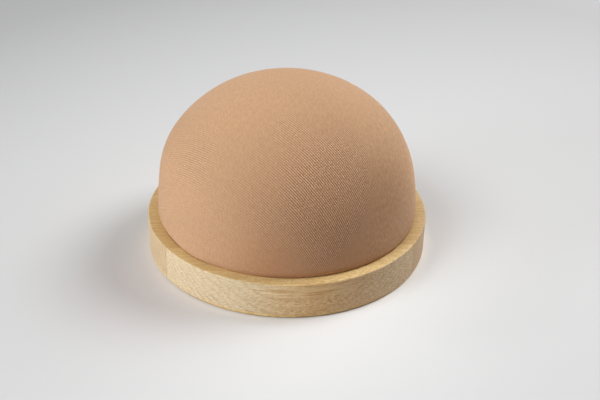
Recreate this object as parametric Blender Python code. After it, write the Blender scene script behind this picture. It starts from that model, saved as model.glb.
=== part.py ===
"""A tailor's pressing pad: a firm domed pad in a turned beech tray.

The tray is turned from a board of edge-glued staves, with a recess in its top. The pad in
the recess is a plywood disc that carries a stuffed dome. A lining and a knitted cover are
drawn over the dome, turned under the disc and stapled there, and countersunk screws through
the tray's floor hold the disc.

Units are metres, +Z is up, and the origin is the centre of the underside. The front of the
object faces -Y.
"""
from math import cos, pi, radians, sin

import bmesh
import bpy
from mathutils import Matrix

# Tray: the turned beech board
BASE_DIAMETER = 0.168
BASE_HEIGHT = 0.022
RIM_WIDTH = 0.0075
RECESS_DEPTH = 0.010
RIM_ROUNDING = 0.0007
FOOT_ROUNDING = 0.0015
RECESS_FILLET = 0.0012

# Staves: the equal boards of the glued panel that the tray is cut from, which reached past
# the tray by the waste at its front and back
STAVE_COUNT = 4
FRONT_WASTE = 0.0083
BACK_WASTE = 0.0157
GRAIN_TURN = radians(3.0)
GLUE_LINE = 0.0003

# Pad: the outside of the cover, above and inside the recess
SEAT_CLEARANCE = 0.0013
SIDE_SWELL = 0.0011
SIDE_ABOVE_RIM = 0.020
CROWN_HEIGHT = 0.063
CROWN_POWER = 1.97

# Layers of the pad, from the outside in
COVER_THICKNESS = 0.0010
LINING_THICKNESS = 0.0006
WADDING_THICKNESS = 0.0040
BOARD_THICKNESS = 0.012
BOARD_ARRIS = 0.0008

# Hems: the cloth that is turned under the board
COVER_HEM = 0.0165
LINING_SHOWING = 0.0070

# Staples
COVER_STAPLES = 14
LINING_STAPLES = 10
STAPLE_CROWN = 0.0095
STAPLE_LEG = 0.0080
STAPLE_WIRE_WIDTH = 0.00095
STAPLE_WIRE_DEPTH = 0.0006
STAPLE_POINT = 0.0008
COVER_STAPLE_FROM_EDGE = 0.0045

# Screws, through the tray's floor into the board
SCREW_COUNT = 4
SCREW_CIRCLE_DIAMETER = 0.088
SCREW_HEAD_DIAMETER = 0.0080
SCREW_SHANK_DIAMETER = 0.0040
SCREW_HEAD_LIP = 0.0003
SCREW_HEAD_SINK = 0.0005
SCREW_POINT_LENGTH = 0.0050
SCREW_POINT_DIAMETER = 0.0006
WOOD_OVER_SCREW = 0.0019
DRIVE_SPAN = 0.0044
DRIVE_SLOT = 0.0010
DRIVE_DEPTH = 0.0016
DRIVE_TAPER = 0.55

# Fit between neighbouring pieces that touch on the real object
FIT_GAP = 0.0003

# Fineness of the turned shapes
TRAY_SEGMENTS = 96
PAD_SEGMENTS = 40
SCREW_SEGMENTS = 16
CROWN_RINGS = 7
SIDE_RINGS = 2
CORNER_STEPS = 2
ROUNDING_STEPS = 3

# Levels and radii that follow from the sizes above
base_radius = BASE_DIAMETER / 2
recess_radius = base_radius - RIM_WIDTH
recess_floor = BASE_HEIGHT - RECESS_DEPTH
panel_front = -base_radius - FRONT_WASTE
stave_width = (BASE_DIAMETER + FRONT_WASTE + BACK_WASTE) / STAVE_COUNT
cover_bottom = recess_floor + FIT_GAP + STAPLE_WIRE_DEPTH + FIT_GAP
lining_inset = COVER_THICKNESS + FIT_GAP
board_inset = lining_inset + LINING_THICKNESS + FIT_GAP
core_inset = board_inset + WADDING_THICKNESS + FIT_GAP
foot_radius = recess_radius - SEAT_CLEARANCE
widest_radius = foot_radius + SIDE_SWELL
widest_height = BASE_HEIGHT + SIDE_ABOVE_RIM
corner_radius = board_inset + BOARD_ARRIS
corner_height = cover_bottom + corner_radius
board_radius = foot_radius - board_inset
board_bottom = cover_bottom + board_inset
board_top = board_bottom + BOARD_THICKNESS
stuffing_bottom = board_top + FIT_GAP
cover_hem_radius = foot_radius - COVER_HEM
lining_hem_radius = cover_hem_radius - LINING_SHOWING
cover_staple_radius = cover_hem_radius + COVER_STAPLE_FROM_EDGE
lining_staple_radius = lining_hem_radius + LINING_SHOWING / 2
cover_staple_height = cover_bottom - FIT_GAP - STAPLE_WIRE_DEPTH
lining_staple_height = cover_staple_height + lining_inset
screw_circle_radius = SCREW_CIRCLE_DIAMETER / 2
screw_tip = board_top - WOOD_OVER_SCREW


# Making objects


def clear_scene():
    for thing in list(bpy.data.objects):
        bpy.data.objects.remove(thing, do_unlink=True)


def linear(channel):
    """One sRGB channel, 0 to 255, as the linear value that a shader takes."""
    value = channel / 255
    return value / 12.92 if value <= 0.04045 else ((value + 0.055) / 1.055) ** 2.4


def make_material(name, srgb, roughness, metallic=0.0):
    material = bpy.data.materials.new(name)
    material.use_nodes = True
    shader = material.node_tree.nodes["Principled BSDF"]
    shader.inputs["Base Color"].default_value = [linear(c) for c in srgb] + [1.0]
    shader.inputs["Roughness"].default_value = roughness
    shader.inputs["Metallic"].default_value = metallic
    return material


def add_object(name, bm, material=None, sharp_above=radians(35)):
    """Turn a bmesh into an object of the scene, smooth except at its sharp edges."""
    bmesh.ops.recalc_face_normals(bm, faces=bm.faces)
    mesh = bpy.data.meshes.new(name)
    bm.to_mesh(mesh)
    bm.free()
    mesh.shade_smooth()
    mesh.set_sharp_from_angle(angle=sharp_above)
    if material:
        mesh.materials.append(material)
    thing = bpy.data.objects.new(name, mesh)
    bpy.context.scene.collection.objects.link(thing)
    return thing


def add_cutter(name, bm):
    cutter = add_object(name, bm)
    cutter.hide_render = True
    cutter.display_type = 'WIRE'
    return cutter


def boolean(thing, cutter, operation='DIFFERENCE'):
    modifier = thing.modifiers.new(cutter.name, 'BOOLEAN')
    modifier.object = cutter
    modifier.operation = operation
    modifier.solver = 'EXACT'


def turned(profile, segments):
    """A solid turned about Z, from (radius, height) points that start and end on the axis."""
    bm = bmesh.new()
    points = [bm.verts.new((radius, 0, height)) for radius, height in profile]
    lines = [bm.edges.new(pair) for pair in zip(points, points[1:])]
    bmesh.ops.spin(bm, geom=points + lines, cent=(0, 0, 0), axis=(0, 0, 1),
                   angle=2 * pi, steps=segments, use_merge=True)
    bmesh.ops.remove_doubles(bm, verts=bm.verts, dist=1e-6)
    return bm


def arc(centre_radius, centre_height, radius, start, end, steps):
    """Points on a round corner of a profile, from one angle to another."""
    turns = [start + (end - start) * step / steps for step in range(steps + 1)]
    return [(centre_radius + radius * cos(a), centre_height + radius * sin(a)) for a in turns]


def prism(outline, low, high, far_scale=1.0):
    """A prism of an (x, y) outline from low to high along Z, its far end scaled."""
    bm = bmesh.new()
    near = [bm.verts.new((x, y, low)) for x, y in outline]
    far = [bm.verts.new((x * far_scale, y * far_scale, high)) for x, y in outline]
    bm.faces.new(near)
    bm.faces.new(reversed(far))
    for index, corner in enumerate(near):
        after = (index + 1) % len(near)
        bm.faces.new((corner, far[index], far[after], near[after]))
    return bm


def add_box(bm, low, high):
    """Add the box between two corners to a bmesh."""
    size = [b - a for a, b in zip(low, high)]
    middle = [(a + b) / 2 for a, b in zip(low, high)]
    bmesh.ops.create_cube(bm, matrix=Matrix.Translation(middle) @ Matrix.Diagonal(size + [1.0]))


def evenly(count, first=0.0):
    """The angles of count places round a circle."""
    return [first + 2 * pi * index / count for index in range(count)]


def on_circle(radius, angle, height=0.0):
    """The place at a radius and angle about the Z axis, with its own X along the tangent."""
    return Matrix.Translation((radius * cos(angle), radius * sin(angle), height)) @ \
        Matrix.Rotation(angle + pi / 2, 4, 'Z')


def ring_of(bm, places):
    """Replace a bmesh's shape by a copy of it at each place."""
    shape = bm.verts[:] + bm.edges[:] + bm.faces[:]
    for place in places:
        copy = bmesh.ops.duplicate(bm, geom=shape)["geom"]
        corners = [item for item in copy if isinstance(item, bmesh.types.BMVert)]
        bmesh.ops.transform(bm, matrix=place, verts=corners)
    first = [item for item in shape if isinstance(item, bmesh.types.BMVert)]
    bmesh.ops.delete(bm, geom=first, context='VERTS')
    return bm


# The tray and its staves


def tray_profile():
    """The turned section of the tray, from the recess floor over the rim to the underside."""
    rim_centre = BASE_HEIGHT - RIM_ROUNDING
    recess_corner = arc(recess_radius - RECESS_FILLET, recess_floor + RECESS_FILLET,
                        RECESS_FILLET, -pi / 2, 0.0, CORNER_STEPS)
    rim_inside = arc(recess_radius + RIM_ROUNDING, rim_centre,
                     RIM_ROUNDING, pi, pi / 2, ROUNDING_STEPS)
    rim_outside = arc(base_radius - RIM_ROUNDING, rim_centre,
                      RIM_ROUNDING, pi / 2, 0.0, ROUNDING_STEPS)
    foot = arc(base_radius - FOOT_ROUNDING, FOOT_ROUNDING,
               FOOT_ROUNDING, 0.0, -pi / 2, ROUNDING_STEPS)
    return [(0.0, recess_floor)] + recess_corner + rim_inside + rim_outside + foot + [(0.0, 0.0)]


def build_staves(material, screw_holes):
    """Cut the turned tray into its staves, each a slab of the panel between two glue lines."""
    for index in range(STAVE_COUNT):
        stave = add_object(f"base_stave_{index + 1}",
                           turned(tray_profile(), TRAY_SEGMENTS), material)
        front = panel_front + index * stave_width + GLUE_LINE / 2
        back = panel_front + (index + 1) * stave_width - GLUE_LINE / 2
        slab = bmesh.new()
        add_box(slab, (-BASE_DIAMETER, front, -BASE_HEIGHT), (BASE_DIAMETER, back, 2 * BASE_HEIGHT))
        cutter = add_cutter(f"stave_slab_{index + 1}", slab)
        cutter.rotation_euler = (0, 0, GRAIN_TURN)
        boolean(stave, screw_holes)
        boolean(stave, cutter, 'INTERSECT')


# The pad and its layers


def side_radius(height, inset):
    """Radius of a layer below its widest level, where the side draws in to the foot."""
    drop = (widest_height - height) / (widest_height - corner_height)
    return widest_radius - inset - SIDE_SWELL * drop ** 2


def crown_and_side(inset, bottom):
    """Profile of a layer from the top of its crown down its side to the height bottom."""
    points = [(0.0, widest_height + CROWN_HEIGHT - inset)]
    for ring in reversed(range(CROWN_RINGS)):
        angle = pi / 2 * ring / CROWN_RINGS
        across = (widest_radius - inset) * cos(angle) ** (2 / CROWN_POWER)
        up = (CROWN_HEIGHT - inset) * sin(angle) ** (2 / CROWN_POWER)
        points.append((across, widest_height + up))
    for ring in range(1, SIDE_RINGS + 1):
        height = widest_height + (bottom - widest_height) * ring / SIDE_RINGS
        points.append((side_radius(height, inset), height))
    return points


def turned_under(inset, hem_radius):
    """Profile of a cloth layer from its crown, down and under the board to its hem."""
    above = crown_and_side(inset, corner_height)[:-1]
    corner = arc(foot_radius - corner_radius, corner_height, corner_radius - inset,
                 0.0, -pi / 2, CORNER_STEPS)
    return above + corner + [(hem_radius, cover_bottom + inset)]


def build_cloth(name, inset, thickness, hem_radius, material, staple_holes):
    """A cloth layer: a thin dome, open underneath inside its hem."""
    outside = turned_under(inset, hem_radius)
    inside = turned_under(inset + thickness, hem_radius)
    cloth = add_object(name, turned(outside + inside[::-1], PAD_SEGMENTS), material)
    boolean(cloth, staple_holes)


def build_stuffing(wadding_material, core_material):
    outside = crown_and_side(board_inset, stuffing_bottom)
    inside = crown_and_side(board_inset + WADDING_THICKNESS, stuffing_bottom)
    add_object("wadding_layer", turned(outside + inside[::-1], PAD_SEGMENTS), wadding_material)
    core = crown_and_side(core_inset, stuffing_bottom) + [(0.0, stuffing_bottom)]
    add_object("core_stuffing", turned(core, PAD_SEGMENTS), core_material)


def build_board(material, staple_holes, screw_holes):
    profile = [
        (0.0, board_top),
        (board_radius - BOARD_ARRIS, board_top),
        (board_radius, board_top - BOARD_ARRIS),
        (board_radius, board_bottom + BOARD_ARRIS),
        (board_radius - BOARD_ARRIS, board_bottom),
        (0.0, board_bottom),
    ]
    board = add_object("pad_board", turned(profile, PAD_SEGMENTS), material)
    boolean(board, staple_holes)
    boolean(board, screw_holes)


# Staples


def staple():
    """A chisel-pointed staple, crown down, its legs up along Z and its crown along X."""
    side = STAPLE_CROWN / 2
    inner = side - STAPLE_WIRE_DEPTH
    outline = [
        (-side, 0.0), (side, 0.0),
        (side, STAPLE_LEG - STAPLE_POINT), (inner, STAPLE_LEG),
        (inner, STAPLE_WIRE_DEPTH), (-inner, STAPLE_WIRE_DEPTH),
        (-inner, STAPLE_LEG), (-side, STAPLE_LEG - STAPLE_POINT),
    ]
    bm = prism(outline, -STAPLE_WIRE_WIDTH / 2, STAPLE_WIRE_WIDTH / 2)
    bmesh.ops.transform(bm, matrix=Matrix.Rotation(pi / 2, 4, 'X'), verts=bm.verts)
    return bm


def staple_leg_holes():
    """The two holes that one staple's legs make, with clearance."""
    bm = bmesh.new()
    outer = STAPLE_CROWN / 2 + FIT_GAP
    inner = STAPLE_CROWN / 2 - STAPLE_WIRE_DEPTH - FIT_GAP
    half = STAPLE_WIRE_WIDTH / 2 + FIT_GAP
    for left, right in ((-outer, -inner), (inner, outer)):
        add_box(bm, (left, -half, STAPLE_WIRE_DEPTH), (right, half, STAPLE_LEG + FIT_GAP))
    return bm


def build_staples(material):
    """Set both rings of staples, and return the cutter of all their leg holes."""
    rings = {
        "cover_staple": (COVER_STAPLES, cover_staple_radius, cover_staple_height),
        "lining_staple": (LINING_STAPLES, lining_staple_radius, lining_staple_height),
    }
    places = []
    for name, (count, radius, height) in rings.items():
        for number, angle in enumerate(evenly(count, pi / count), start=1):
            place = on_circle(radius, angle, height)
            places.append(place)
            add_object(f"{name}_{number:02d}", staple(), material).matrix_world = place
    return add_cutter("staple_holes", ring_of(staple_leg_holes(), places))


# Screws


def screw_profile(clearance):
    """A countersunk screw, head down, or with a clearance the hole that it lies in."""
    head = SCREW_HEAD_DIAMETER / 2 + clearance
    shank = SCREW_SHANK_DIAMETER / 2 + clearance
    point = SCREW_POINT_DIAMETER / 2 + clearance
    face = -FIT_GAP if clearance else SCREW_HEAD_SINK
    cone = SCREW_HEAD_SINK + SCREW_HEAD_LIP
    return [
        (0.0, screw_tip + clearance),
        (point, screw_tip + clearance),
        (shank, screw_tip - SCREW_POINT_LENGTH),
        (shank, cone + head - shank),
        (head, cone),
        (head, face),
        (0.0, face),
    ]


def drive_outline():
    """The plus-shaped drive in a screw's head, seen along the screw."""
    reach = DRIVE_SPAN / 2
    half = DRIVE_SLOT / 2
    arm = [(reach, -half), (reach, half), (half, half)]
    turns = evenly(4)
    return [(x * cos(a) - y * sin(a), x * sin(a) + y * cos(a)) for a in turns for x, y in arm]


def build_screws(material):
    """Set the screws, and return the cutter of all their holes."""
    places = [on_circle(screw_circle_radius, angle)
              for angle in evenly(SCREW_COUNT, pi / SCREW_COUNT + GRAIN_TURN)]
    drive = prism(drive_outline(), SCREW_HEAD_SINK - FIT_GAP, SCREW_HEAD_SINK + DRIVE_DEPTH,
                  DRIVE_TAPER)
    drives = add_cutter("screw_drives", ring_of(drive, places))
    for number, place in enumerate(places, start=1):
        screw = add_object(f"board_screw_{number}",
                           turned(screw_profile(0.0), SCREW_SEGMENTS), material)
        screw.matrix_world = place
        boolean(screw, drives)
    holes = turned(screw_profile(FIT_GAP), SCREW_SEGMENTS)
    return add_cutter("screw_holes", ring_of(holes, places))


# The whole pad


def build():
    clear_scene()
    beech = make_material("beech", (206, 171, 129), 0.5)
    knit = make_material("knitted_cover", (186, 146, 113), 0.9)
    calico = make_material("calico", (226, 214, 188), 0.9)
    wool = make_material("wool_wadding", (232, 226, 212), 0.95)
    sawdust = make_material("packed_sawdust", (199, 168, 124), 0.95)
    plywood = make_material("plywood", (214, 184, 140), 0.65)
    zinc = make_material("zinc_plated_steel", (196, 197, 192), 0.35, 1.0)
    galvanised = make_material("galvanised_wire", (178, 180, 182), 0.45, 1.0)

    screw_holes = build_screws(zinc)
    staple_holes = build_staples(galvanised)
    build_staves(beech, screw_holes)
    build_board(plywood, staple_holes, screw_holes)
    build_stuffing(wool, sawdust)
    build_cloth("lining_cover", lining_inset, LINING_THICKNESS, lining_hem_radius,
                calico, staple_holes)
    build_cloth("knit_cover", 0.0, COVER_THICKNESS, cover_hem_radius, knit, staple_holes)


build()
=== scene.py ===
from math import atan2, cos, degrees, hypot, pi, radians, sin, tan

import bmesh
import bpy
from mathutils import Matrix, Vector


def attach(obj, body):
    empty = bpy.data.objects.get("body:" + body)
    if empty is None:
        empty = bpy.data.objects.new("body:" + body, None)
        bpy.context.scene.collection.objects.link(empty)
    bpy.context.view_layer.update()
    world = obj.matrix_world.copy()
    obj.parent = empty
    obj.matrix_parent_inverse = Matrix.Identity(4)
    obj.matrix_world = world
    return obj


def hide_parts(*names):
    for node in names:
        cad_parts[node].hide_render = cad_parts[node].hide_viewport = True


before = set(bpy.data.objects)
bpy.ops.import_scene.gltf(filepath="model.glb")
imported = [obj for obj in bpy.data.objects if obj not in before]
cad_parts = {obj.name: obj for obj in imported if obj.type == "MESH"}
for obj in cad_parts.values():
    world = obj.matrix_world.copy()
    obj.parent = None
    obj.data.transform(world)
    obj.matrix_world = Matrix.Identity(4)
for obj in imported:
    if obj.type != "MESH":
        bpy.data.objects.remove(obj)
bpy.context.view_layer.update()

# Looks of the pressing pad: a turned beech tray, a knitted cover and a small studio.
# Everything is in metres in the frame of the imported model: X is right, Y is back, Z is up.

# The least length that anything is divided by
LEAST_LENGTH = 1e-6

# Tray, with the sizes of the CAD model, but for thinner glue lines
BASE_RADIUS = 0.084
BASE_HEIGHT = 0.022
RIM_WIDTH = 0.0075
RECESS_DEPTH = 0.010
RIM_ROUNDING = 0.0007
FOOT_ROUNDING = 0.0015
RECESS_FILLET = 0.0012
GRAIN_TURN = radians(3.0)
GLUE_LINES = (-0.0443, 0.0037, 0.0517)
GLUE_LINE_WIDTH = 0.00004
TRAY_SEGMENTS = 256
ROUNDING_STEPS = 5

# Holes for the screws in the tray's floor
SCREW_CIRCLE_RADIUS = 0.044
SCREW_COUNT = 4
SCREW_START = 48
SCREW_ANGLES = tuple(radians(SCREW_START + 360 / SCREW_COUNT * i) for i in range(SCREW_COUNT))
SCREW_HOLE_RADIUS = 0.0023
SCREW_SINK_RADIUS = 0.0043
SCREW_SINK_DEPTH = 0.0008
SCREW_SEGMENTS = 32
CUT_BEYOND = 0.001

# Pad, with the sizes of the CAD model
WIDEST_RADIUS = 0.0763
WIDEST_HEIGHT = 0.042
CROWN_HEIGHT = 0.063
CROWN_POWER = 1.97
SIDE_SWELL = 0.0011
CORNER_RADIUS = 0.0030
CORNER_HEIGHT = 0.0162
HEM_RADIUS = 0.0587
COVER_THICKNESS = 0.0010

# Cloth of the cover: the cells of its net, and the heights of its rings below the widest level
CAGE_CELLS = 24
SIDE_HEIGHTS = (0.0390, 0.0360, 0.0330, 0.0300, 0.0270, 0.0250, 0.0238, 0.0229, 0.0221, 0.0212,
                0.0200, 0.0180, 0.0162)
CORNER_CELLS = 3
HEM_CELLS = 4
# How far inside the cover's outside the sheet starts, and how far it may rise from there
CLOTH_SLACK = 0.0002
CLOTH_RISE = 0.0006
CLOTH_FRAMES = 20
CLOTH_PRESSURE = 400.0
CLOTH_POINT_MASS = 0.01
# Below this height the board and the rim hold the cloth still
HELD_BELOW = 0.020

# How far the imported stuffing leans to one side: (height, shift along X)
LEAN = ((0.000, 0.0), (0.022, 0.0), (0.0285, -0.00025), (0.040, -0.0002), (0.049, -0.0004),
        (0.055, -0.0007), (0.061, -0.0009), (0.067, -0.0009), (0.073, -0.0007), (0.079, -0.0004),
        (0.084, -0.0002), (0.110, -0.0002))

# How far the pad bulges out above and over the rim's inner edge: (height, shift outwards)
BULGE = ((0.0000, 0.0), (0.0175, 0.0), (0.0190, 0.00038), (0.0200, 0.00062), (0.0210, 0.00072),
         (0.0220, 0.00092), (0.0224, 0.00115), (0.0229, 0.00155), (0.0236, 0.00195),
         (0.0246, 0.00215), (0.0260, 0.00200), (0.0285, 0.00160), (0.0330, 0.00130),
         (0.0360, 0.00104), (0.0390, 0.00072), (0.0420, 0.00040), (0.0440, 0.00020),
         (0.0460, 0.00008), (0.0490, 0.0), (0.1100, 0.0))

# Where it lies further over the rim and where it touches it: (degrees from X, shift outwards),
# and how much of that at each height
OVERHANG = ((0.0, 0.0), (202.0, 0.0), (210.0, 0.0002), (215.0, 0.0005), (221.0, 0.0009),
            (228.0, 0.0014), (233.0, 0.0014), (238.0, 0.0007), (244.0, 0.0002), (256.0, 0.0),
            (360.0, 0.0))
OVERHANG_SHARE = ((0.0, 0.0), (0.0221, 0.0), (0.0229, 0.6), (0.0238, 1.0), (0.0250, 1.0),
                  (0.0300, 0.4), (0.0360, 0.0), (0.1100, 0.0))
TOUCH = ((0.0, 0.0), (200.0, 0.0), (206.0, -0.0012), (214.0, -0.0012), (219.0, 0.0),
         (225.0, 0.0008), (233.0, 0.0009), (240.0, 0.0007),
         (250.0, 0.0007), (258.0, 0.0005), (268.0, 0.0002), (280.0, 0.0003), (293.0, 0.0006),
         (312.0, 0.0006), (325.0, 0.0004), (340.0, 0.0002), (350.0, 0.0), (360.0, 0.0))
TOUCH_SHARE = ((0.0, 0.0), (0.0205, 0.0), (0.0212, 0.2), (0.0221, 1.0), (0.0229, 0.4),
               (0.0238, 0.0), (0.1100, 0.0))

# Camera, fitted to the outlines of the tray and the dome
CAMERA_PLACE = Vector((0.0, -0.56771, 0.36294))
CAMERA_LENS = 65.25
CAMERA_SENSOR = 36.0
CAMERA_ELEVATION = radians(32.5911)
CAMERA_YAW = radians(-0.6680)
CAMERA_PITCH = radians(1.9345)
CAMERA_ROLL = radians(-0.8683)

# Studio. The floor turns into the pale surround between two distances from the tray's middle
FLOOR_RADIUS = 6.0
FLOOR_THICKNESS = 0.01
FLOOR_SEGMENTS = 96
FLOOR_SEEN, FLOOR_GONE = 0.53, 0.95
SURROUND = 0.72
# Painted light: the floor's paint is brightest at a place in front and fades away from it to a
# least tone. Y counts for less in that distance, and the place is given in the same way
FLOOR_SQUEEZE = (1.0, 0.77, 0.0)
FLOOR_LIGHT_POOL_PLACE = (0.035, -0.072, 0.0)
FLOOR_FADE_REACH = 0.92
FLOOR_BRIGHT, FLOOR_FADED, FLOOR_LEAST = 0.755, 0.29, 0.54
# Painted light and shadow, as soft tones in the floor's paint: (middle, reach, how much lighter)
FLOOR_PAINTED_LIGHT_AND_SHADOW = (((-0.011, -0.090, 0.0), 0.160, 0.110), ((0.098, -0.030, 0.0), 0.070, 0.075),
               ((-0.104, -0.034, 0.0), 0.159, -0.039), ((-0.087, 0.238, 0.0), 0.298, 0.027),
               ((0.106, -0.050, 0.0), 0.077, -0.044))
# Painted light and painted contact shadow along the tray's foot: (middle, near, far, reach from
# the foot, factor)
FLOOR_PAINTED_FOOT_LIGHT_AND_SHADOW = (((0.090, -0.028, 0.0), 0.040, 0.068, 0.0085, 1.17),
               ((-0.020, -0.080, 0.0), 0.030, 0.090, 0.0020, 0.85))
# A slight painted warm bounce light in the floor's shadow: (middle, reach, tint)
FLOOR_PAINTED_BOUNCE = ((-0.075, -0.060, 0.0), 0.075, (1.0, 0.955, 0.955))
# Round soft lamps, all equally wide and equally far from what they are aimed at
LAMP_AIM = Vector((0.0, 0.0, 0.044))
LAMP_DISTANCE = 1.3
LAMP_WIDTH = 0.6
LAMPS = (
    # name, azimuth, elevation, power, colour
    ("window", 202.5, 5.0, 10.3, (0.96, 1.0, 1.05)),
    ("left_high", 213.5, 50.0, 6.7, (1.0, 1.0, 1.0)),
    ("left_top", 225.0, 65.0, 2.8, (1.0, 1.0, 1.0)),
    ("back_right", 22.5, 50.0, 9.6, (1.0, 1.0, 1.0)),
    ("back_low", 45.0, 35.0, 3.3, (1.0, 1.0, 1.0)),
    ("back_edge", 67.0, 5.0, 2.3, (1.0, 1.0, 1.0)),
)


# Meshes


def new_object(name, mesh):
    """A shown object with this mesh."""
    thing = bpy.data.objects.new(name, mesh)
    bpy.context.scene.collection.objects.link(thing)
    return thing


def object_from(name, points, faces):
    """A shown object from its points and faces."""
    mesh = bpy.data.meshes.new(name)
    mesh.from_pydata([tuple(point) for point in points], [], faces)
    mesh.update()
    return new_object(name, mesh)


def smooth(thing, sharp_above=35.0):
    """Smooth shading, but for the edges where faces meet at more than this angle in degrees."""
    for face in thing.data.polygons:
        face.use_smooth = True
    thing.data.set_sharp_from_angle(angle=radians(sharp_above))


def apply_modifiers(thing):
    """Give the object the mesh that its modifiers make."""
    graph = bpy.context.evaluated_depsgraph_get()
    mesh = bpy.data.meshes.new_from_object(thing.evaluated_get(graph), depsgraph=graph)
    thing.modifiers.clear()
    old, thing.data = thing.data, mesh
    bpy.data.meshes.remove(old)
    mesh.name = thing.name


def boolean(thing, cutter, operation):
    """Cut the object with another, or keep what both share, and remove the cutter."""
    cut = thing.modifiers.new("cut", "BOOLEAN")
    cut.operation, cut.solver, cut.object = operation, "EXACT", cutter
    bpy.context.view_layer.update()
    apply_modifiers(thing)
    bpy.data.objects.remove(cutter)


def arc(centre, radius, start, end, steps):
    """Points round an arc from one angle to another in degrees, both ends included."""
    angles = [radians(start + (end - start) * i / steps) for i in range(steps + 1)]
    return [(centre[0] + radius * cos(a), centre[1] + radius * sin(a)) for a in angles]


def turned(name, profile, segments):
    """A closed body turned from a profile of (radius, height), with a flat disc at each end."""
    around = [2 * pi * i / segments for i in range(segments)]
    points = [(r * cos(a), r * sin(a), z) for r, z in profile for a in around]
    faces = [tuple(reversed(range(segments)))]
    for low in range(0, len(points) - segments, segments):
        high = low + segments
        faces += [(low + i, low + (i + 1) % segments, high + (i + 1) % segments, high + i)
                  for i in range(segments)]
    faces.append(tuple(range(len(points) - segments, len(points))))
    return object_from(name, points, faces)


# Tray


def tray_profile():
    """The tray's section from under its middle, round the rim, to the middle of its recess."""
    inner = BASE_RADIUS - RIM_WIDTH
    floor = BASE_HEIGHT - RECESS_DEPTH
    foot, rim, fillet = FOOT_ROUNDING, RIM_ROUNDING, RECESS_FILLET
    return [
        *arc((BASE_RADIUS - foot, foot), foot, -90, 0, ROUNDING_STEPS),
        *arc((BASE_RADIUS - rim, BASE_HEIGHT - rim), rim, 0, 90, ROUNDING_STEPS),
        *arc((inner + rim, BASE_HEIGHT - rim), rim, 90, 180, ROUNDING_STEPS),
        *arc((inner - fillet, floor + fillet), fillet, 0, -90, ROUNDING_STEPS),
    ]


def slab(front, back):
    """A box between two glue lines, turned with the grain."""
    side, low, high = 2 * BASE_RADIUS, -BASE_HEIGHT, 2 * BASE_HEIGHT
    corners = [(x, y, z) for z in (low, high)
               for x, y in ((-side, front), (side, front), (side, back), (-side, back))]
    faces = [(3, 2, 1, 0), (4, 5, 6, 7), (0, 1, 5, 4), (1, 2, 6, 5), (2, 3, 7, 6), (3, 0, 4, 7)]
    box = object_from("slab", corners, faces)
    box.data.transform(Matrix.Rotation(GRAIN_TURN, 4, "Z"))
    return box


def screw_hole(angle):
    """The countersunk hole of the screw at this angle."""
    sink, hole = SCREW_SINK_RADIUS, SCREW_HOLE_RADIUS
    profile = [(sink, -CUT_BEYOND), (sink, SCREW_SINK_DEPTH),
               (hole, SCREW_SINK_DEPTH + sink - hole), (hole, BASE_HEIGHT)]
    cutter = turned("screw_hole", profile, SCREW_SEGMENTS)
    place = SCREW_CIRCLE_RADIUS * cos(angle), SCREW_CIRCLE_RADIUS * sin(angle), 0.0
    cutter.data.transform(Matrix.Translation(place))
    return cutter


def build_staves():
    """The tray's staves from front to back, each in the place of its CAD node."""
    edges = (-2 * BASE_RADIUS, *GLUE_LINES, 2 * BASE_RADIUS)
    for number in range(1, len(edges)):
        front = edges[number - 1] + GLUE_LINE_WIDTH / 2
        back = edges[number] - GLUE_LINE_WIDTH / 2
        stave = turned(f"beech_stave_{number}", tray_profile(), TRAY_SEGMENTS)
        boolean(stave, slab(front, back), "INTERSECT")
        for angle in SCREW_ANGLES:
            if front < SCREW_CIRCLE_RADIUS * sin(angle - GRAIN_TURN) < back:
                boolean(stave, screw_hole(angle), "DIFFERENCE")
        smooth(stave)
        stave.data.materials.clear()
        stave.data.materials.append(beech(number))
        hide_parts(f"base_stave_{number}")
        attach(stave, "root")


# Pad


def crown_net():
    """A net of squares over the top half of a cube: its corners, faces and lower edge."""
    half = CAGE_CELLS // 2
    span = range(-half, half)
    faces = [((i, j, half), (i + 1, j, half), (i + 1, j + 1, half), (i, j + 1, half))
             for i in span for j in span]
    side = [((half, i, k + 1), (half, i, k), (half, i + 1, k), (half, i + 1, k + 1))
            for i in span for k in range(half)]
    edge_side = [(half, i, 0) for i in span]
    edge = []
    for _ in range(4):
        faces += side
        edge += edge_side
        side = [tuple((-y, x, z) for x, y, z in face) for face in side]
        edge_side = [(-y, x, z) for x, y, z in edge_side]
    corners = list(dict.fromkeys(corner for face in faces for corner in face))
    return corners, faces, edge


def crown_point(corner, inset):
    """Where a corner of the net lies on the crown, evenly spread over it."""
    x, y, z = (tan(pi / 2 * c / CAGE_CELLS) for c in corner)
    level = hypot(x, y)
    angle = atan2(z, level)
    across = (WIDEST_RADIUS - inset) * cos(angle) ** (2 / CROWN_POWER) / max(level, LEAST_LENGTH)
    up = (CROWN_HEIGHT - inset) * sin(angle) ** (2 / CROWN_POWER)
    return Vector((x * across, y * across, WIDEST_HEIGHT + up))


def side_profile(inset):
    """Section below the widest level: down the side, round the corner and in to the hem."""
    drop = WIDEST_HEIGHT - CORNER_HEIGHT
    foot = WIDEST_RADIUS - inset - SIDE_SWELL
    side = [(foot + SIDE_SWELL * (1 - ((WIDEST_HEIGHT - height) / drop) ** 2), height)
            for height in SIDE_HEIGHTS]
    bend = CORNER_RADIUS - inset
    corner = arc((foot - bend, CORNER_HEIGHT), bend, 0, -90, CORNER_CELLS)[1:]
    width = foot - bend - HEM_RADIUS
    under = [(foot - bend - width * i / HEM_CELLS, CORNER_HEIGHT - bend)
             for i in range(1, HEM_CELLS + 1)]
    return side + corner + under


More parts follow.
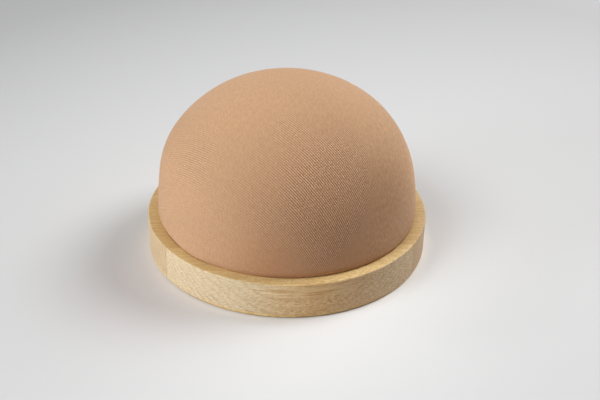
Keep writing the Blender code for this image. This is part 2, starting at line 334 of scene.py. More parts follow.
def pad_sheet(name, inset):
    """An open sheet over the pad, from the top of the crown to the hem under the board."""
    corners, net, edge = crown_net()
    index = {corner: number for number, corner in enumerate(corners)}
    points = [crown_point(corner, inset) for corner in corners]
    faces = [tuple(index[corner] for corner in face) for face in net]
    ring = [index[corner] for corner in edge]
    ways = [points[number].xy.normalized() for number in ring]
    count = len(ring)
    for radius, height in side_profile(inset):
        lower = range(len(points), len(points) + count)
        points += [Vector((*(way * radius), height)) for way in ways]
        faces += [(ring[i], lower[i], lower[(i + 1) % count], ring[(i + 1) % count])
                  for i in range(count)]
        ring = lower
    return object_from(name, points, faces), list(ring)


def inflated(sheet, hem):
    """Where the sheet's points come to lie when the stuffing presses the cloth out."""
    cloth_object = new_object("cloth", sheet.data.copy())
    bm = bmesh.new()
    bm.from_mesh(cloth_object.data)
    bm.verts.ensure_lookup_table()
    bm.faces.new([bm.verts[i] for i in reversed(hem)])
    bm.to_mesh(cloth_object.data)
    bm.free()
    held = cloth_object.vertex_groups.new(name="held")
    held.add([v.index for v in sheet.data.vertices if v.co.z < HELD_BELOW], 1.0, "REPLACE")
    cloth = cloth_object.modifiers.new("cloth", "CLOTH")
    cloth.settings.vertex_group_mass = "held"
    cloth.settings.use_pressure = True
    cloth.settings.uniform_pressure_force = CLOTH_PRESSURE
    cloth.settings.mass = CLOTH_POINT_MASS
    cloth.settings.effector_weights.gravity = 0.0
    cloth.collision_settings.use_collision = False
    scene = bpy.context.scene
    for number in range(1, CLOTH_FRAMES + 1):
        scene.frame_set(number)
    graph = bpy.context.evaluated_depsgraph_get()
    blown = [v.co.copy() for v in cloth_object.evaluated_get(graph).data.vertices]
    scene.frame_set(1)
    bpy.data.objects.remove(cloth_object)
    return blown


def looked_up(table, key):
    """A table's value for this key, in a straight line from row to row."""
    for (low, at_low), (high, at_high) in zip(table, table[1:]):
        if key <= high:
            return at_low + (at_high - at_low) * (key - low) / (high - low)
    return table[-1][1]


def packed(place):
    """Where a point of the round cover lies on the pad as it was stuffed."""
    angle = degrees(atan2(place.y, place.x)) % 360.0
    out = looked_up(BULGE, place.z)
    out += looked_up(OVERHANG, angle) * looked_up(OVERHANG_SHARE, place.z)
    out += looked_up(TOUCH, angle) * looked_up(TOUCH_SHARE, place.z)
    way = place.xy.normalized() * out
    return place + Vector((way.x + looked_up(LEAN, place.z), way.y, 0.0))


def build_cover():
    """The knitted cover: cloth pressed out over the pad, turned under it, with its thickness."""
    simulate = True
    cover, hem = pad_sheet("jersey_cover", CLOTH_SLACK if simulate else 0.0)
    if simulate:
        for vertex, blown in zip(cover.data.vertices, inflated(cover, hem)):
            rise = blown - vertex.co
            vertex.co += rise * min(1.0, CLOTH_RISE / max(rise.length, LEAST_LENGTH))
    for vertex in cover.data.vertices:
        vertex.co = packed(vertex.co)
    round_off = cover.modifiers.new("round_off", "SUBSURF")
    round_off.levels = 1
    thick = cover.modifiers.new("thickness", "SOLIDIFY")
    thick.thickness, thick.offset, thick.use_even_offset = COVER_THICKNESS, -1.0, True
    apply_modifiers(cover)
    smooth(cover)
    cover.data.materials.clear()
    cover.data.materials.append(knit())
    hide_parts("knit_cover")
    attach(cover, "root")


# Materials


class Graph:
    """A new material, with short calls that add nodes to it and join them."""

    def __init__(self, name, finish):
        self.material = bpy.data.materials.new(name)
        self.material.use_nodes = True
        self.tree = self.material.node_tree
        self.surface = self.tree.nodes["Principled BSDF"]
        for socket, value in finish.items():
            self.surface.inputs[socket].default_value = value

    def add(self, kind, inputs, **settings):
        """Add a node. Its inputs, by name or number, are sockets to join or plain values."""
        node = self.tree.nodes.new("ShaderNode" + kind)
        for name, value in settings.items():
            setattr(node, name, value)
        for key, value in inputs.items():
            if isinstance(value, bpy.types.NodeSocket):
                self.tree.links.new(value, node.inputs[key])
            else:
                node.inputs[key].default_value = value
        return node

    def place(self):
        """Position on the object, in metres."""
        return self.add("TexCoord", {}).outputs["Object"]

    def math(self, operation, *values, clamp=False):
        """One number from one, two or three."""
        return self.add("Math", dict(enumerate(values)), operation=operation,
                        use_clamp=clamp).outputs[0]

    def split(self, vector):
        """The three parts of a vector."""
        return self.add("SeparateXYZ", {0: vector}).outputs[:]

    def join(self, x, y, z):
        """A vector from three numbers."""
        return self.add("CombineXYZ", {0: x, 1: y, 2: z}).outputs[0]

    def length(self, x, y):
        """The length of a flat vector."""
        squares = self.math("MULTIPLY_ADD", x, x, self.math("MULTIPLY", y, y))
        return self.math("SQRT", squares)

    def apart(self, vector, place):
        """How far a vector is from a place."""
        return self.add("VectorMath", {0: vector, 1: place}, operation="DISTANCE").outputs["Value"]

    def tint(self, colour, tint):
        """A colour seen through a tint."""
        return self.mix(1.0, colour, shade(tint), "MULTIPLY")

    def turn(self, vector, angle=0.0, scale=(1, 1, 1), shift=(0, 0, 0)):
        """A vector scaled, then turned about Z, then shifted."""
        return self.add("Mapping", {"Vector": vector, "Rotation": (0, 0, angle), "Scale": scale,
                                    "Location": shift}).outputs[0]

    def noise(self, vector, scale, detail=2.0, roughness=0.5):
        """Noise from 0 to 1, about 0.5."""
        return self.add("TexNoise", {"Vector": vector, "Scale": scale, "Detail": detail,
                                     "Roughness": roughness}).outputs[0]

    def long_noise(self, vector, scale, detail=2.0, roughness=0.5):
        """Noise with a scale of its own along each axis."""
        return self.noise(self.turn(vector, scale=scale), 1.0, detail, roughness)

    def between(self, value, low, high, at_low=0.0, at_high=1.0):
        """A number that goes smoothly from one value to another as value passes a range."""
        return self.add("MapRange", {"Value": value, "From Min": low, "From Max": high,
                                     "To Min": at_low, "To Max": at_high},
                        interpolation_type="SMOOTHSTEP").outputs[0]

    def mix(self, factor, a, b, blend="MIX"):
        """Two colours mixed by a factor."""
        return self.add("Mix", {0: factor, 6: a, 7: b}, data_type="RGBA",
                        blend_type=blend).outputs[2]

    def bump(self, height, distance, strength=1.0):
        """Surface relief from a height of 0 to 1 that stands for this distance."""
        normal = self.add("Bump", {"Height": height, "Distance": distance, "Strength": strength})
        self.tree.links.new(normal.outputs[0], self.surface.inputs["Normal"])

    def paint(self, colour):
        """Give the surface its colour."""
        self.tree.links.new(colour, self.surface.inputs["Base Color"])


def shade(colour, factor=1.0):
    """A colour of three numbers as one of four, made lighter or darker."""
    return (*(channel * factor for channel in colour), 1.0)


def tinted(colour, tint):
    """A colour seen through a tint."""
    return [a * b for a, b in zip(colour, tint)]


# The parts of a noise's range over which a look goes from none to full
NOISE_CORE = (0.35, 0.65)
NOISE_WIDE = (0.3, 0.7)


# Beech

# Linear colours of the staves' sides and of the rim's top, front stave first
WALL_COLOURS = ((0.785, 0.654, 0.446), (0.68, 0.525, 0.328), (0.72, 0.56, 0.36), (0.70, 0.55, 0.35))
RIM_COLOURS = ((0.797, 0.611, 0.303), (0.722, 0.523, 0.240), (0.755, 0.554, 0.265),
               (0.734, 0.531, 0.255))
BEECH_ROUGHNESS = 0.5
# The wall darkens to the right between two places along X, to this tint
DARKER_RIGHT = (-0.020, 0.045, (0.93, 0.87, 0.81))
# Soft bands across the wall and its foot: (middle along X, reach, tint). The foot's bands are
# painted light, which lifts its downward rounding out of shade, the left one cooler and paler
BROWN_BAND = (0.0145, 0.049, (1.02, 0.87, 0.66))
FOOT_PAINTED_LIGHT = ((-0.018, 0.045, (1.18, 1.23, 1.24)), (-0.066, 0.036, (1.03, 1.18, 1.48)))
FOOT_COLOUR = (0.80, 0.56, 0.26)
# Where the foot's colour turns into the wall's, in roundings above the floor
FOOT_ENDS = (0.8, 2.0)
# Where the wall's colour starts to turn into the rim's and where it ends, in roundings below the
# rim, each at the rim's inner edge and at its outer one, with the radii between the two
TOP_RANGE = ((1.4, 0.45), (0.7, 0.05))
TOP_SIDES = (BASE_RADIUS - 0.0040, BASE_RADIUS - 0.0030)
# A darker band on the rim's outer edge: its tint, the radii between which it starts, and where it
# ends in roundings below the rim
EDGE_TINT = (0.92, 0.89, 0.86)
EDGE_SIDES = (BASE_RADIUS - 0.0035, BASE_RADIUS - 0.0020)
EDGE_DEPTH = 0.3
# The glue lines blur to both sides, further on the wall than on the rim's top
GLUE_COLOUR = (0.62, 0.42, 0.20)
GLUE_STRENGTH = 0.35
GLUE_HALF_WIDTH = 0.0001
GLUE_BLUR_ON_WALL, GLUE_BLUR_ON_TOP = 0.0014, 0.0005
# Growth rings: how far they drift, how they fade in places, and how much of each wave shows
RING_TINT = (0.80, 0.70, 0.56)
RING_SPACING = 0.0031
RING_DRIFT = 0.008
RING_DRIFT_SCALE = (8, 40, 40)
RING_FADE = (0.15, 0.5)
RING_FADE_SCALE = (60, 120, 120)
RING_WAVE = (-0.2, 1.0)
RINGS_ON_TOP = 0.45
# Pale clouds and dark fibre along the grain
CLOUD_TINT = (1.08, 1.08, 1.08)
CLOUD_SCALE = (45, 160, 160)
CLOUD_STRENGTH = 0.5
FIBRE_TINT = (0.84, 0.75, 0.64)
FIBRE_SCALE = (250, 1700, 1700)
FIBRE_ROUGHNESS = 0.6
FIBRE_STRENGTH = 0.5
FIBRE_RELIEF = 0.00005
FIBRE_RELIEF_STRENGTH = 0.35
# Short dark flecks of the rays. Their rows rise to a place along the wall, by so much for each
# square metre, and they grow stronger to the right, which paints the contrast of raking light
# there: (from X, to X, strength there and there)
FLECK_TINT = (0.70, 0.55, 0.38)
FLECK_SCALE = (480, 1700, 3600)
FLECK_DOME = (0.022, 2.4)
FLECK_NOISE = (0.45, 0.64)
FLECKS_ON_TOP = 0.5
FLECKS_TO_RIGHT = (-0.060, 0.020, 0.65, 1.2)
# Long thin streaks near the rim at the front, which hide a share of the flecks: heights, and
# middle, near and far along X
STREAK_TINT = (0.80, 0.65, 0.47)
STREAK_SCALE = (45, 60, 1000)
STREAK_ROUGHNESS = 0.6
STREAK_NOISE = (0.46, 0.62)
STREAK_HEIGHTS = (0.0120, 0.0150)
STREAK_PLACE = (0.008, 0.016, 0.044)
FLECKS_HIDDEN = 0.6
# Golden streaks along the grain on the rim's top, in the tint of the others
RIM_STREAKS = 0.38
RIM_STREAK_SCALE = (50, 550, 550)
RIM_STREAK_NOISE = (0.42, 0.62)

# Each stave's place in its log: the middle of the rings (across, up), the way along it, and how
# strongly its rings and flecks show
STAVE_LOG = (((0.010, -0.050), 0.00, 1.0, 0.9), ((-0.270, 0.070), 0.21, 1.9, 0.5),
             ((0.040, -0.060), 0.47, 1.0, 0.9), ((0.020, 0.070), 0.73, 1.0, 0.9))


class Beech(Graph):
    """The beech of one stave. Most calls take its colour so far and give it one more part."""

    def __init__(self, number):
        super().__init__(f"beech_{number}", {"Roughness": BEECH_ROUGHNESS})
        self.number = number
        self.heart, shift, self.ring_share, self.fleck_share = STAVE_LOG[number - 1]
        place = self.turn(self.place(), -GRAIN_TURN)
        self.x, self.y, self.z = self.split(place)
        self.log = self.turn(place, shift=(shift, 0, 0))
        self.level = self.length(self.x, self.y)
        self.top = self.on_top()
        self.streaky = self.where_streaky()

    def on_top(self):
        """1 on the rim's top and 0 on the wall."""
        outer = self.between(self.level, *TOP_SIDES)
        low, high = (self.between(outer, 0.0, 1.0, BASE_HEIGHT - RIM_ROUNDING * at_inner,
                                  BASE_HEIGHT - RIM_ROUNDING * at_outer)
                     for at_inner, at_outer in TOP_RANGE)
        return self.between(self.z, low, high)

    def where_streaky(self):
        """1 near the rim at the front of the first stave, where the wall has long thin streaks."""
        if self.number != 1:
            return 0.0
        middle, near, far = STREAK_PLACE
        off = self.math("ABSOLUTE", self.math("SUBTRACT", self.x, middle))
        part = self.math("MULTIPLY", self.between(off, near, far, 1.0, 0.0),
                         self.between(self.z, *STREAK_HEIGHTS))
        return self.math("SUBTRACT", part, self.top, clamp=True)

    def banded(self, colour, middle, reach, tint):
        """A soft tinted band across X."""
        off = self.math("ABSOLUTE", self.math("SUBTRACT", self.x, middle))
        return self.mix(self.between(off, 0.0, reach, 1.0, 0.0), colour, self.tint(colour, tint))

    def wall_and_rim(self):
        """The stave's colours on its wall, its foot and the rim's top, with painted light on the
        foot.
        """
        wall = shade(WALL_COLOURS[self.number - 1])
        start, end, tint = DARKER_RIGHT
        wall = self.mix(self.between(self.x, start, end), wall, self.tint(wall, tint))
        wall = self.banded(wall, *BROWN_BAND)
        foot = shade(FOOT_COLOUR)
        # Painted light on the foot's shaded rounding
        for band in FOOT_PAINTED_LIGHT:
            foot = self.banded(foot, *band)
        low, high = (FOOT_ROUNDING * share for share in FOOT_ENDS)
        colour = self.mix(self.between(self.z, low, high), foot, wall)
        return self.mix(self.top, colour, shade(RIM_COLOURS[self.number - 1]))

    def glued(self, colour):
        """Glue lines between the staves."""
        blur = self.between(self.top, 0.0, 1.0, GLUE_BLUR_ON_WALL, GLUE_BLUR_ON_TOP)
        for line in GLUE_LINES:
            off = self.math("ABSOLUTE", self.math("SUBTRACT", self.y, line))
            seam = self.between(off, GLUE_HALF_WIDTH, blur, GLUE_STRENGTH, 0.0)
            colour = self.mix(seam, colour, shade(GLUE_COLOUR))
        return colour

    def ringed(self, colour):
        """Growth rings round the middle of the log."""
        faint, strong = (share * self.ring_share for share in RING_FADE)
        fade = self.between(self.long_noise(self.log, RING_FADE_SCALE), *NOISE_CORE, faint, strong)
        across, up = self.heart
        radius = self.length(self.math("SUBTRACT", self.y, across),
                             self.math("SUBTRACT", self.z, up))
        drift = self.long_noise(self.log, RING_DRIFT_SCALE)
        radius = self.math("MULTIPLY_ADD", drift, RING_DRIFT, radius)
        wave = self.math("SINE", self.math("MULTIPLY", radius, 2 * pi / RING_SPACING))
        ring = self.math("MULTIPLY", self.between(wave, *RING_WAVE), fade)
        ring = self.math("MULTIPLY", self.between(self.top, 0.0, 1.0, 1.0, RINGS_ON_TOP), ring)
        return self.mix(ring, colour, self.tint(colour, RING_TINT))

    def clouded(self, colour):
        """Pale clouds along the grain."""
        cloud = self.long_noise(self.log, CLOUD_SCALE)
        cloud = self.between(cloud, *NOISE_CORE, 0.0, CLOUD_STRENGTH)
        return self.mix(cloud, colour, self.tint(colour, CLOUD_TINT))

    def fibrous(self, colour):
        """Fine dark fibre, which is also the wood's relief."""
        fibre = self.long_noise(self.log, FIBRE_SCALE, roughness=FIBRE_ROUGHNESS)
        self.bump(fibre, FIBRE_RELIEF, FIBRE_RELIEF_STRENGTH)
        dark = self.between(fibre, *NOISE_CORE, FIBRE_STRENGTH, 0.0)
        return self.mix(dark, colour, self.tint(colour, FIBRE_TINT))

    def flecked(self, colour):
        """Short dark flecks of the rays."""
        angle = self.math("ARCTAN2", self.x, self.math("MULTIPLY", self.y, -1.0))
        around = self.math("MULTIPLY", angle, BASE_RADIUS)
        middle, rise = FLECK_DOME
        off = self.math("SUBTRACT", around, middle)
        row = self.math("MULTIPLY_ADD", self.math("MULTIPLY", off, off), rise, self.z)
        fleck = self.long_noise(self.join(around, self.level, row), FLECK_SCALE, detail=1.0)
        share = self.between(self.top, 0.0, 1.0, self.fleck_share, FLECKS_ON_TOP)
        fleck = self.math("MULTIPLY", self.between(fleck, *FLECK_NOISE), share)
        # Stronger to the right: painted contrast of the raking light there
        fleck = self.math("MULTIPLY", self.between(self.x, *FLECKS_TO_RIGHT), fleck, clamp=True)
        hidden = self.math("MULTIPLY", self.streaky, fleck)
        fleck = self.math("MULTIPLY_ADD", hidden, -FLECKS_HIDDEN, fleck)
        return self.mix(fleck, colour, self.tint(colour, FLECK_TINT))

    def streaked(self, colour):
        """Long thin dark streaks near the rim at the front."""
        streak = self.long_noise(self.log, STREAK_SCALE, roughness=STREAK_ROUGHNESS)
        streak = self.math("MULTIPLY", self.between(streak, *STREAK_NOISE), self.streaky)
        return self.mix(streak, colour, self.tint(colour, STREAK_TINT))

    def golden(self, colour):
        """Golden streaks along the grain on the rim's top."""
        streak = self.between(self.long_noise(self.log, RIM_STREAK_SCALE), *RIM_STREAK_NOISE)
        streak = self.math("MULTIPLY", self.math("MULTIPLY", streak, RIM_STREAKS), self.top)
        return self.mix(streak, colour, self.tint(colour, STREAK_TINT))

    def darker_edge(self, colour):
        """A darker outer edge round the rim."""
        end = self.between(self.z, BASE_HEIGHT - RIM_ROUNDING * EDGE_DEPTH, BASE_HEIGHT)
        edge = self.math("SUBTRACT", self.top, end)
        edge = self.math("MULTIPLY", self.between(self.level, *EDGE_SIDES), edge)
        return self.mix(edge, colour, self.tint(colour, EDGE_TINT))


def beech(number):
    """Beech of one stave, from its colours to the darker outer edge of its rim."""
    g = Beech(number)
    colour = g.wall_and_rim()
    for part in (g.glued, g.ringed, g.clouded, g.fibrous, g.flecked, g.streaked, g.golden, g.darker_edge):
        colour = part(colour)
    g.paint(colour)
    return g.material


# Jersey

# Linear colour, and the tints of painted shade in the grooves and painted light on the ridges,
# where the ribs look soft and where they look crisp
KNIT_COLOUR = (0.683, 0.416, 0.2377)
KNIT_SOFT_SHADING = ((0.875, 0.84, 0.80), (0.965, 0.98, 1.0))
KNIT_CRISP_SHADING = ((0.435, 0.31, 0.175), (1.295, 1.43, 1.615))
KNIT_FINISH = {"Roughness": 0.9, "Sheen Weight": 0.20, "Sheen Roughness": 0.40,
               "Sheen Tint": (1.0, 0.82, 0.64, 1.0)}
KNIT_RELIEF = 0.00018
# Ribs and rows of loops on the flat cloth, which has the dome's top in its middle. The ribs warp
# by these times x squared, x times y and y squared, and all of it wavers
KNIT_PITCH, ROW_PITCH = 0.001185, 0.00112
KNIT_TURN = radians(50.7)
KNIT_WARP = (-0.66, 0.52, 0.40)
KNIT_WAVER = 0.0007
KNIT_WAVER_SCALE = 110
LOOP_WAVE = (-0.9, 0.9)
ROW_SHARE = 0.21
# The dome's arc is as long as its angle from the top times the radius, plus these times the
# angle's third and fifth powers, to within 0.1 mm
ARC_BEND = (-0.0040, 0.00057)
# Where on the flat cloth the ribs' painted light and shade look crisp: (middle, near, far, how
# crisp). All of that ends round another middle: (middle, near, far), where the left counts as if it
# lay in the middle
CRISP_PLACES = (((0.038, -0.082, 0.0), 0.022, 0.062, 1.0),
                ((0.016, -0.092, 0.0), 0.025, 0.065, 0.34),
                ((0.004, -0.046, 0.0), 0.0, 0.022, 0.60),
                ((-0.059, -0.046, 0.0), 0.0, 0.024, 0.4),
                ((-0.012, -0.094, 0.0), 0.0, 0.030, 0.5))
CRISP_END = ((0.0, -0.074, 0.0), 0.052, 0.062)
# How unevenly crisp they look: the noise, and the shares that it stands for
CRISP_NOISE_SCALE = 170
CRISP_NOISE_ROUGHNESS = 0.6
CRISP_NOISE = (0.3, 0.6, 0.65, 1.15)
# Painted light and shade on the dome, for what its lamps leave out: painted shade over its front
# and right, and a painted sheen along its right edge: (middle, reach, tint)
DOME_PAINTED_LIGHT_AND_SHADE = (((0.026, -0.085, 0.040), 0.100, (0.90, 0.80, 0.765)),
               ((-0.009, -0.076, 0.029), 0.030, (0.94, 0.88, 0.81)),
               ((0.055, -0.048, 0.060), 0.030, (0.91, 0.88, 0.845)),
               ((0.077, -0.005, 0.060), 0.045, (1.12, 1.12, 1.11)),
               ((0.084, 0.000, 0.048), 0.030, (1.30, 1.30, 1.29)))
# Loose fibre that breaks up the crisp ribs, in two tints
KNIT_FLUFF = ((0.70, 0.62, 0.51), (1.30, 1.38, 1.49))
KNIT_FLUFF_SCALE = 1400
# Finer fuzz and a broader mottle all over
FUZZ_TINT = (0.89, 0.82, 0.75)
FUZZ_SCALE = 900
FUZZ_STRENGTH = 0.3
MOTTLE_TINT = (0.905, 0.87, 0.835)
MOTTLE_SCALE = (750, 300, 480)
MOTTLE_ROUGHNESS = 0.6
# Faint upright streaks at the right: where they start and are full along X, their scale round
# the dome and up it, and their two tints
KNIT_STREAKS = (0.036, 0.052)
KNIT_STREAK_SCALE = (1000, 380, 1)
KNIT_STREAK_TINTS = ((0.90, 0.87, 0.83), (1.10, 1.13, 1.17))


def unrolled(g):
    """The place on the flat cloth: as far from its middle as from the top over the dome."""
    x, y, z = g.split(g.place())
    level = g.length(x, y)
    height = g.math("MAXIMUM", g.math("SUBTRACT", z, WIDEST_HEIGHT), 0.0)
    angle = g.math("ARCTAN2", g.math("DIVIDE", level, WIDEST_RADIUS),
                   g.math("DIVIDE", height, CROWN_HEIGHT))
    squared = g.math("MULTIPLY", angle, angle)
    third, fifth = ARC_BEND
    bend = g.math("MULTIPLY_ADD", squared, fifth, third)
    per_angle = g.math("MULTIPLY_ADD", squared, bend, WIDEST_RADIUS)
    below = g.math("MAXIMUM", g.math("SUBTRACT", WIDEST_HEIGHT, z), 0.0)
    far = g.math("MULTIPLY_ADD", angle, per_angle, below)
    stretch = g.math("DIVIDE", far, g.math("MAXIMUM", level, LEAST_LENGTH))
    return g.join(g.math("MULTIPLY", x, stretch), g.math("MULTIPLY", y, stretch), 0.0)


def loops(g, flat):
    """How high the knit's loops stand, from 0 to 1: ribs one way and, weaker, rows the other."""
    u, v, _ = g.split(flat)
    along, across, _ = g.split(g.turn(flat, -KNIT_TURN))
    for factor, a, b in zip(KNIT_WARP, (u, u, v), (u, v, v)):
        along = g.math("MULTIPLY_ADD", g.math("MULTIPLY", a, b), factor, along)
    waver = g.noise(flat, KNIT_WAVER_SCALE, detail=1.0)
    along = g.math("MULTIPLY_ADD", waver, KNIT_WAVER, along)
    across = g.math("MULTIPLY_ADD", waver, -KNIT_WAVER, across)
    rib, row = (g.between(g.math("COSINE", g.math("MULTIPLY", way, 2 * pi / pitch)), *LOOP_WAVE)
                for way, pitch in ((along, KNIT_PITCH), (across, ROW_PITCH)))
    return g.math("MULTIPLY_ADD", g.math("SUBTRACT", row, rib), ROW_SHARE, rib)


def crispness(g, flat):
    """How crisp the painted light and shade of the ribs look, from 0 to 1."""
    crisp = 0.0
    for middle, near, far, most in CRISP_PLACES:
        crisp = g.math("MAXIMUM", g.between(g.apart(flat, middle), near, far, most, 0.0), crisp)
    middle, near, far = CRISP_END
    u, v, _ = g.split(flat)
    right = g.join(g.math("MAXIMUM", u, 0.0), v, 0.0)
    crisp = g.math("MULTIPLY", g.between(g.apart(right, middle), near, far, 1.0, 0.0), crisp)
    uneven = g.noise(flat, CRISP_NOISE_SCALE, roughness=CRISP_NOISE_ROUGHNESS)
    return g.math("MULTIPLY", g.between(uneven, *CRISP_NOISE), crisp, clamp=True)


def with_painted_light_and_shade(g, colour):
    """Painted light and shade on the dome."""
    place = g.place()
    for middle, reach, tint in DOME_PAINTED_LIGHT_AND_SHADE:
        near = g.between(g.apart(place, middle), 0.0, reach, 1.0, 0.0)
        colour = g.mix(near, colour, g.tint(colour, tint))
    return colour


def fluffed(g, colour, flat, crisp):
    """Loose fibre over the crisp ribs, and fuzz and mottle all over."""
    fluff = g.between(g.noise(flat, KNIT_FLUFF_SCALE, detail=1.0), *NOISE_WIDE)
    fluff = g.mix(fluff, *(shade(tint) for tint in KNIT_FLUFF))
    colour = g.mix(crisp, colour, fluff, "MULTIPLY")
    fuzz = g.between(g.noise(flat, FUZZ_SCALE), *NOISE_WIDE, FUZZ_STRENGTH, 0.0)
    colour = g.mix(fuzz, colour, g.tint(colour, FUZZ_TINT))
    mottle = g.long_noise(flat, MOTTLE_SCALE, roughness=MOTTLE_ROUGHNESS)
    mottle = g.between(mottle, *NOISE_WIDE, 1.0, 0.0)
    return g.mix(mottle, colour, g.tint(colour, MOTTLE_TINT))


def upright_streaks(g, colour):
    """Faint upright streaks at the right of the dome."""
    x, y, z = g.split(g.place())
    around = g.math("MULTIPLY", g.math("ARCTAN2", y, x), WIDEST_RADIUS)
    streak = g.long_noise(g.join(around, z, 0.0), KNIT_STREAK_SCALE, detail=1.0)
    streak = g.mix(g.between(streak, *NOISE_WIDE), *(shade(tint) for tint in KNIT_STREAK_TINTS))
    return g.mix(g.between(x, *KNIT_STREAKS), colour, streak, "MULTIPLY")


def knit():
    """Fine skin-coloured jersey: ribs of loops one way and rows of loops the other."""
    g = Graph("skin_jersey", KNIT_FINISH)
    flat = unrolled(g)
    loop = loops(g, flat)
    crisp = crispness(g, flat)
    # Painted shade in the loops' grooves and painted light on their ridges, strongest where crisp
    groove_shade, ridge_light = (g.mix(crisp, *(shade(tinted(KNIT_COLOUR, tint)) for tint in soft_and_crisp))
                     for soft_and_crisp in zip(KNIT_SOFT_SHADING, KNIT_CRISP_SHADING))
    colour = with_painted_light_and_shade(g, g.mix(loop, groove_shade, ridge_light))
    colour = fluffed(g, colour, flat, crisp)
    g.paint(upright_streaks(g, colour))
    g.bump(loop, KNIT_RELIEF)
    return g.material


# Hidden materials

# Woven cloth, loose fibre, plywood and steel, with what makes each of them look uneven
CLOTH_ROUGHNESS, CLOTH_SHEEN, CLOTH_RELIEF = 0.9, 0.1, 0.0001
# Painted shade in the weave's low places, as a share of the cloth's colour
CLOTH_GROOVE_SHADE = 0.75
TUFT_SHEEN, TUFT_RELIEF = 0.2, 0.0008
TUFT_DETAIL, TUFT_ROUGHNESS = 4.0, 0.65
TUFT_SHADES = (0.65, 1.1)
PLY_PAIR = 0.0029
PLY_COLOURS = ((0.62, 0.45, 0.27), (0.40, 0.26, 0.14))
PLY_ROUGHNESS, PLY_RELIEF, PLY_RELIEF_STRENGTH = 0.6, 0.0001, 0.5
PLY_GRAIN_COLOUR = (0.34, 0.22, 0.12)
PLY_GRAIN_SCALE = (40, 900, 900)
PLY_GRAIN_STRENGTH = 0.35
STEEL_MOTTLE_SCALE = 1500.0
STEEL_SHADES = (0.85, 1.05)
STEEL_RELIEF, STEEL_RELIEF_STRENGTH = 0.00002, 0.4


def plain_cloth(name, colour, pitch):
    """Plain woven cloth: threads over and under each other, with painted shade where they dip."""
    g = Graph(name, {"Roughness": CLOTH_ROUGHNESS, "Sheen Weight": CLOTH_SHEEN})
    x, y, _ = g.split(g.place())
    warp = g.math("SINE", g.math("MULTIPLY", x, 2 * pi / pitch))
    weft = g.math("SINE", g.math("MULTIPLY", y, 2 * pi / pitch))
    height = g.math("MULTIPLY_ADD", g.math("MULTIPLY", warp, weft), 0.5, 0.5)
    g.paint(g.mix(height, shade(colour, CLOTH_GROOVE_SHADE), shade(colour)))
    g.bump(height, CLOTH_RELIEF)
    return g.material


def loose_fibre(name, colour, scale):
    """Wadding or packed stuffing: uneven tufts of short fibre."""
    g = Graph(name, {"Roughness": 1.0, "Sheen Weight": TUFT_SHEEN})
    tuft = g.noise(g.place(), scale, TUFT_DETAIL, TUFT_ROUGHNESS)
    dark, pale = (shade(colour, factor) for factor in TUFT_SHADES)
    g.paint(g.mix(g.between(tuft, *NOISE_CORE), dark, pale))
    g.bump(tuft, TUFT_RELIEF)
    return g.material


def plywood():
    """Birch plywood: veneers in turn along and across, seen at its edge as stripes."""
    g = Graph("birch_plywood", {"Roughness": PLY_ROUGHNESS})
    place = g.place()
    _, _, z = g.split(place)
    wave = g.math("SINE", g.math("MULTIPLY", z, 2 * pi / PLY_PAIR))
    ply = g.math("MULTIPLY_ADD", wave, 0.5, 0.5)
    grain = g.long_noise(place, PLY_GRAIN_SCALE, detail=3.0)
    colour = g.mix(g.between(ply, *NOISE_CORE), *(shade(veneer) for veneer in PLY_COLOURS))
    grain_share = g.math("MULTIPLY", grain, PLY_GRAIN_STRENGTH)
    g.paint(g.mix(grain_share, colour, shade(PLY_GRAIN_COLOUR)))
    g.bump(grain, PLY_RELIEF, PLY_RELIEF_STRENGTH)
    return g.material


def plated_steel(name, colour, roughness):
    """Zinc-plated or galvanised steel with a faint mottle."""
    g = Graph(name, {"Roughness": roughness, "Metallic": 1.0})
    mottle = g.noise(g.place(), STEEL_MOTTLE_SCALE, detail=3.0)
    g.paint(g.mix(mottle, *(shade(colour, factor) for factor in STEEL_SHADES)))
    g.bump(mottle, STEEL_RELIEF, STEEL_RELIEF_STRENGTH)
    return g.material


def dress_hidden_nodes():
    """Give the CAD nodes inside the pad and under it their own materials."""
    looks = {
        "lining_cover": plain_cloth("calico", colour=(0.68, 0.63, 0.52), pitch=0.0008),
        "wadding_layer": loose_fibre("wool_wadding", colour=(0.70, 0.66, 0.57), scale=350.0),
        "core_stuffing": loose_fibre("packed_sawdust", colour=(0.55, 0.38, 0.20), scale=900.0),
        "pad_board": plywood(),
        "board_screw": plated_steel("zinc_steel", colour=(0.72, 0.70, 0.64), roughness=0.35),
        "cover_staple": plated_steel("staple_wire", colour=(0.62, 0.63, 0.64), roughness=0.4),
    }
    looks["lining_staple"] = looks["cover_staple"]
    for name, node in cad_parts.items():
        for start, material in looks.items():
            if name.startswith(start):
                node.data.materials.clear()
                node.data.materials.append(material)


# Studio


def seen(tree):
    """1 where a surface is looked at, also by way of glossy or clear ones, and 0 for its light."""
    path = tree.nodes.new("ShaderNodeLightPath")
    total = path.outputs["Is Camera Ray"]
    for ray in ("Is Glossy Ray", "Is Transmission Ray"):
        plus = tree.nodes.new("ShaderNodeMath")
        plus.operation, plus.use_clamp = "ADD", True
        tree.links.new(total, plus.inputs[0])
        tree.links.new(path.outputs[ray], plus.inputs[1])
        total = plus.outputs[0]
    return total


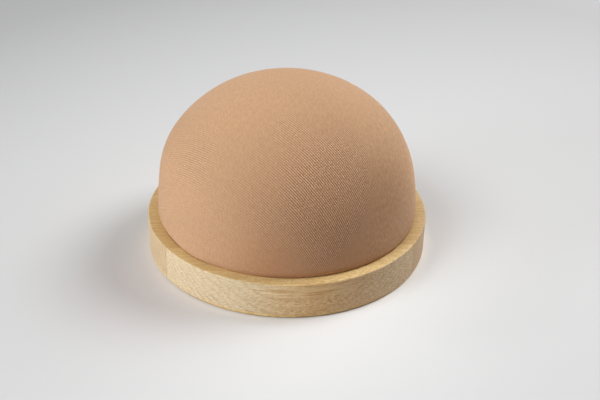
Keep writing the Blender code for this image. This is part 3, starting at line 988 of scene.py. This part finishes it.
def floor_material():
    """Matt white paper with painted light and shadow, brightest in front of the tray, that ends in
    the pale surround.
    """
    g = Graph("paper", {"Roughness": 0.9, "Specular IOR Level": 0.1})
    place = g.turn(g.place(), scale=FLOOR_SQUEEZE)
    # Painted pool of light in front, fading to a least tone
    faded = g.between(g.apart(place, FLOOR_LIGHT_POOL_PLACE), 0.0, FLOOR_FADE_REACH,
                      FLOOR_BRIGHT, FLOOR_FADED)
    tone = g.math("MAXIMUM", faded, FLOOR_LEAST)
    flat = g.turn(g.place(), scale=(1, 1, 0))
    # Painted light and shadow round the tray
    for middle, reach, more in FLOOR_PAINTED_LIGHT_AND_SHADOW:
        tone = g.math("ADD", tone, g.between(g.apart(flat, middle), 0.0, reach, more, 0.0))
    level = g.apart(flat, (0, 0, 0))
    # Painted light and contact shadow in rings along the foot
    for middle, near, far, reach, factor in FLOOR_PAINTED_FOOT_LIGHT_AND_SHADOW:
        ring = g.between(level, BASE_RADIUS, BASE_RADIUS + reach, 1.0, 0.0)
        ring = g.math("MULTIPLY", g.between(g.apart(flat, middle), near, far, 1.0, 0.0), ring)
        tone = g.math("MULTIPLY", g.math("MULTIPLY_ADD", ring, factor - 1.0, 1.0), tone)
    # Painted warm bounce light in the shadow at the left
    middle, reach, tint = FLOOR_PAINTED_BOUNCE
    colour = g.join(tone, tone, tone)
    bounce_share = g.between(g.apart(flat, middle), 0.0, reach, 1.0, 0.0)
    g.paint(g.mix(bounce_share, colour, g.tint(colour, tint)))
    away = g.between(g.apart(g.place(), (0, 0, 0)), FLOOR_SEEN, FLOOR_GONE)
    surround = g.add("Emission", {"Color": (1, 1, 1, 1), "Strength": SURROUND})
    both = g.add("MixShader", {0: g.math("MULTIPLY", away, seen(g.tree)),
                               1: g.surface.outputs[0], 2: surround.outputs[0]})
    g.tree.links.new(both.outputs[0], g.tree.nodes["Material Output"].inputs["Surface"])
    return g.material


def build_floor():
    """A wide pale floor."""
    profile = [(FLOOR_RADIUS, -FLOOR_THICKNESS), (FLOOR_RADIUS, 0.0)]
    floor = turned("floor", profile, FLOOR_SEGMENTS)
    floor.data.materials.append(floor_material())


def build_lamps():
    """Large soft lamps that face the middle of the pad."""
    for name, azimuth, elevation, power, colour in LAMPS:
        a, e = radians(azimuth), radians(elevation)
        lamp = bpy.data.lights.new(name, "AREA")
        lamp.shape, lamp.size, lamp.energy, lamp.color = "DISK", LAMP_WIDTH, power, colour
        thing = new_object(name, lamp)
        way = Vector((cos(a) * cos(e), sin(a) * cos(e), sin(e)))
        thing.location = LAMP_AIM + way * LAMP_DISTANCE
        thing.rotation_euler = (-way).to_track_quat("-Z", "Y").to_euler()


def build_world():
    """A pale surround where it is seen, also in reflections, and no light beside that."""
    world = bpy.data.worlds.new("surround")
    bpy.context.scene.world = world
    world.use_nodes = True
    tree = world.node_tree
    background = tree.nodes["Background"]
    background.inputs["Color"].default_value = (1, 1, 1, 1)
    strength = tree.nodes.new("ShaderNodeMapRange")
    strength.inputs["To Max"].default_value = SURROUND
    tree.links.new(seen(tree), strength.inputs["Value"])
    tree.links.new(strength.outputs[0], background.inputs["Strength"])


def build_camera():
    """The photograph's viewpoint: aimed at the middle of the floor, then turned a little."""
    ahead = Vector((0, cos(CAMERA_ELEVATION), -sin(CAMERA_ELEVATION)))
    right = Vector((1, 0, 0))
    up = right.cross(ahead)
    for axis, angle in (("up", CAMERA_YAW), ("right", CAMERA_PITCH), ("ahead", CAMERA_ROLL)):
        turn = Matrix.Rotation(angle, 3, {"up": up, "right": right, "ahead": ahead}[axis])
        ahead, right, up = turn @ ahead, turn @ right, turn @ up
    lens = bpy.data.cameras.new("camera")
    lens.lens, lens.sensor_width, lens.sensor_fit = CAMERA_LENS, CAMERA_SENSOR, "HORIZONTAL"
    camera = new_object("camera", lens)
    camera.matrix_world = Matrix.Translation(CAMERA_PLACE) @ Matrix(
        (right, up, -ahead)).transposed().to_4x4()
    bpy.context.scene.camera = camera


def main():
    """Build the whole scene."""
    build_camera()
    build_staves()
    build_cover()
    dress_hidden_nodes()
    build_floor()
    build_lamps()
    build_world()
    bpy.context.scene.view_settings.view_transform = "Standard"


main()
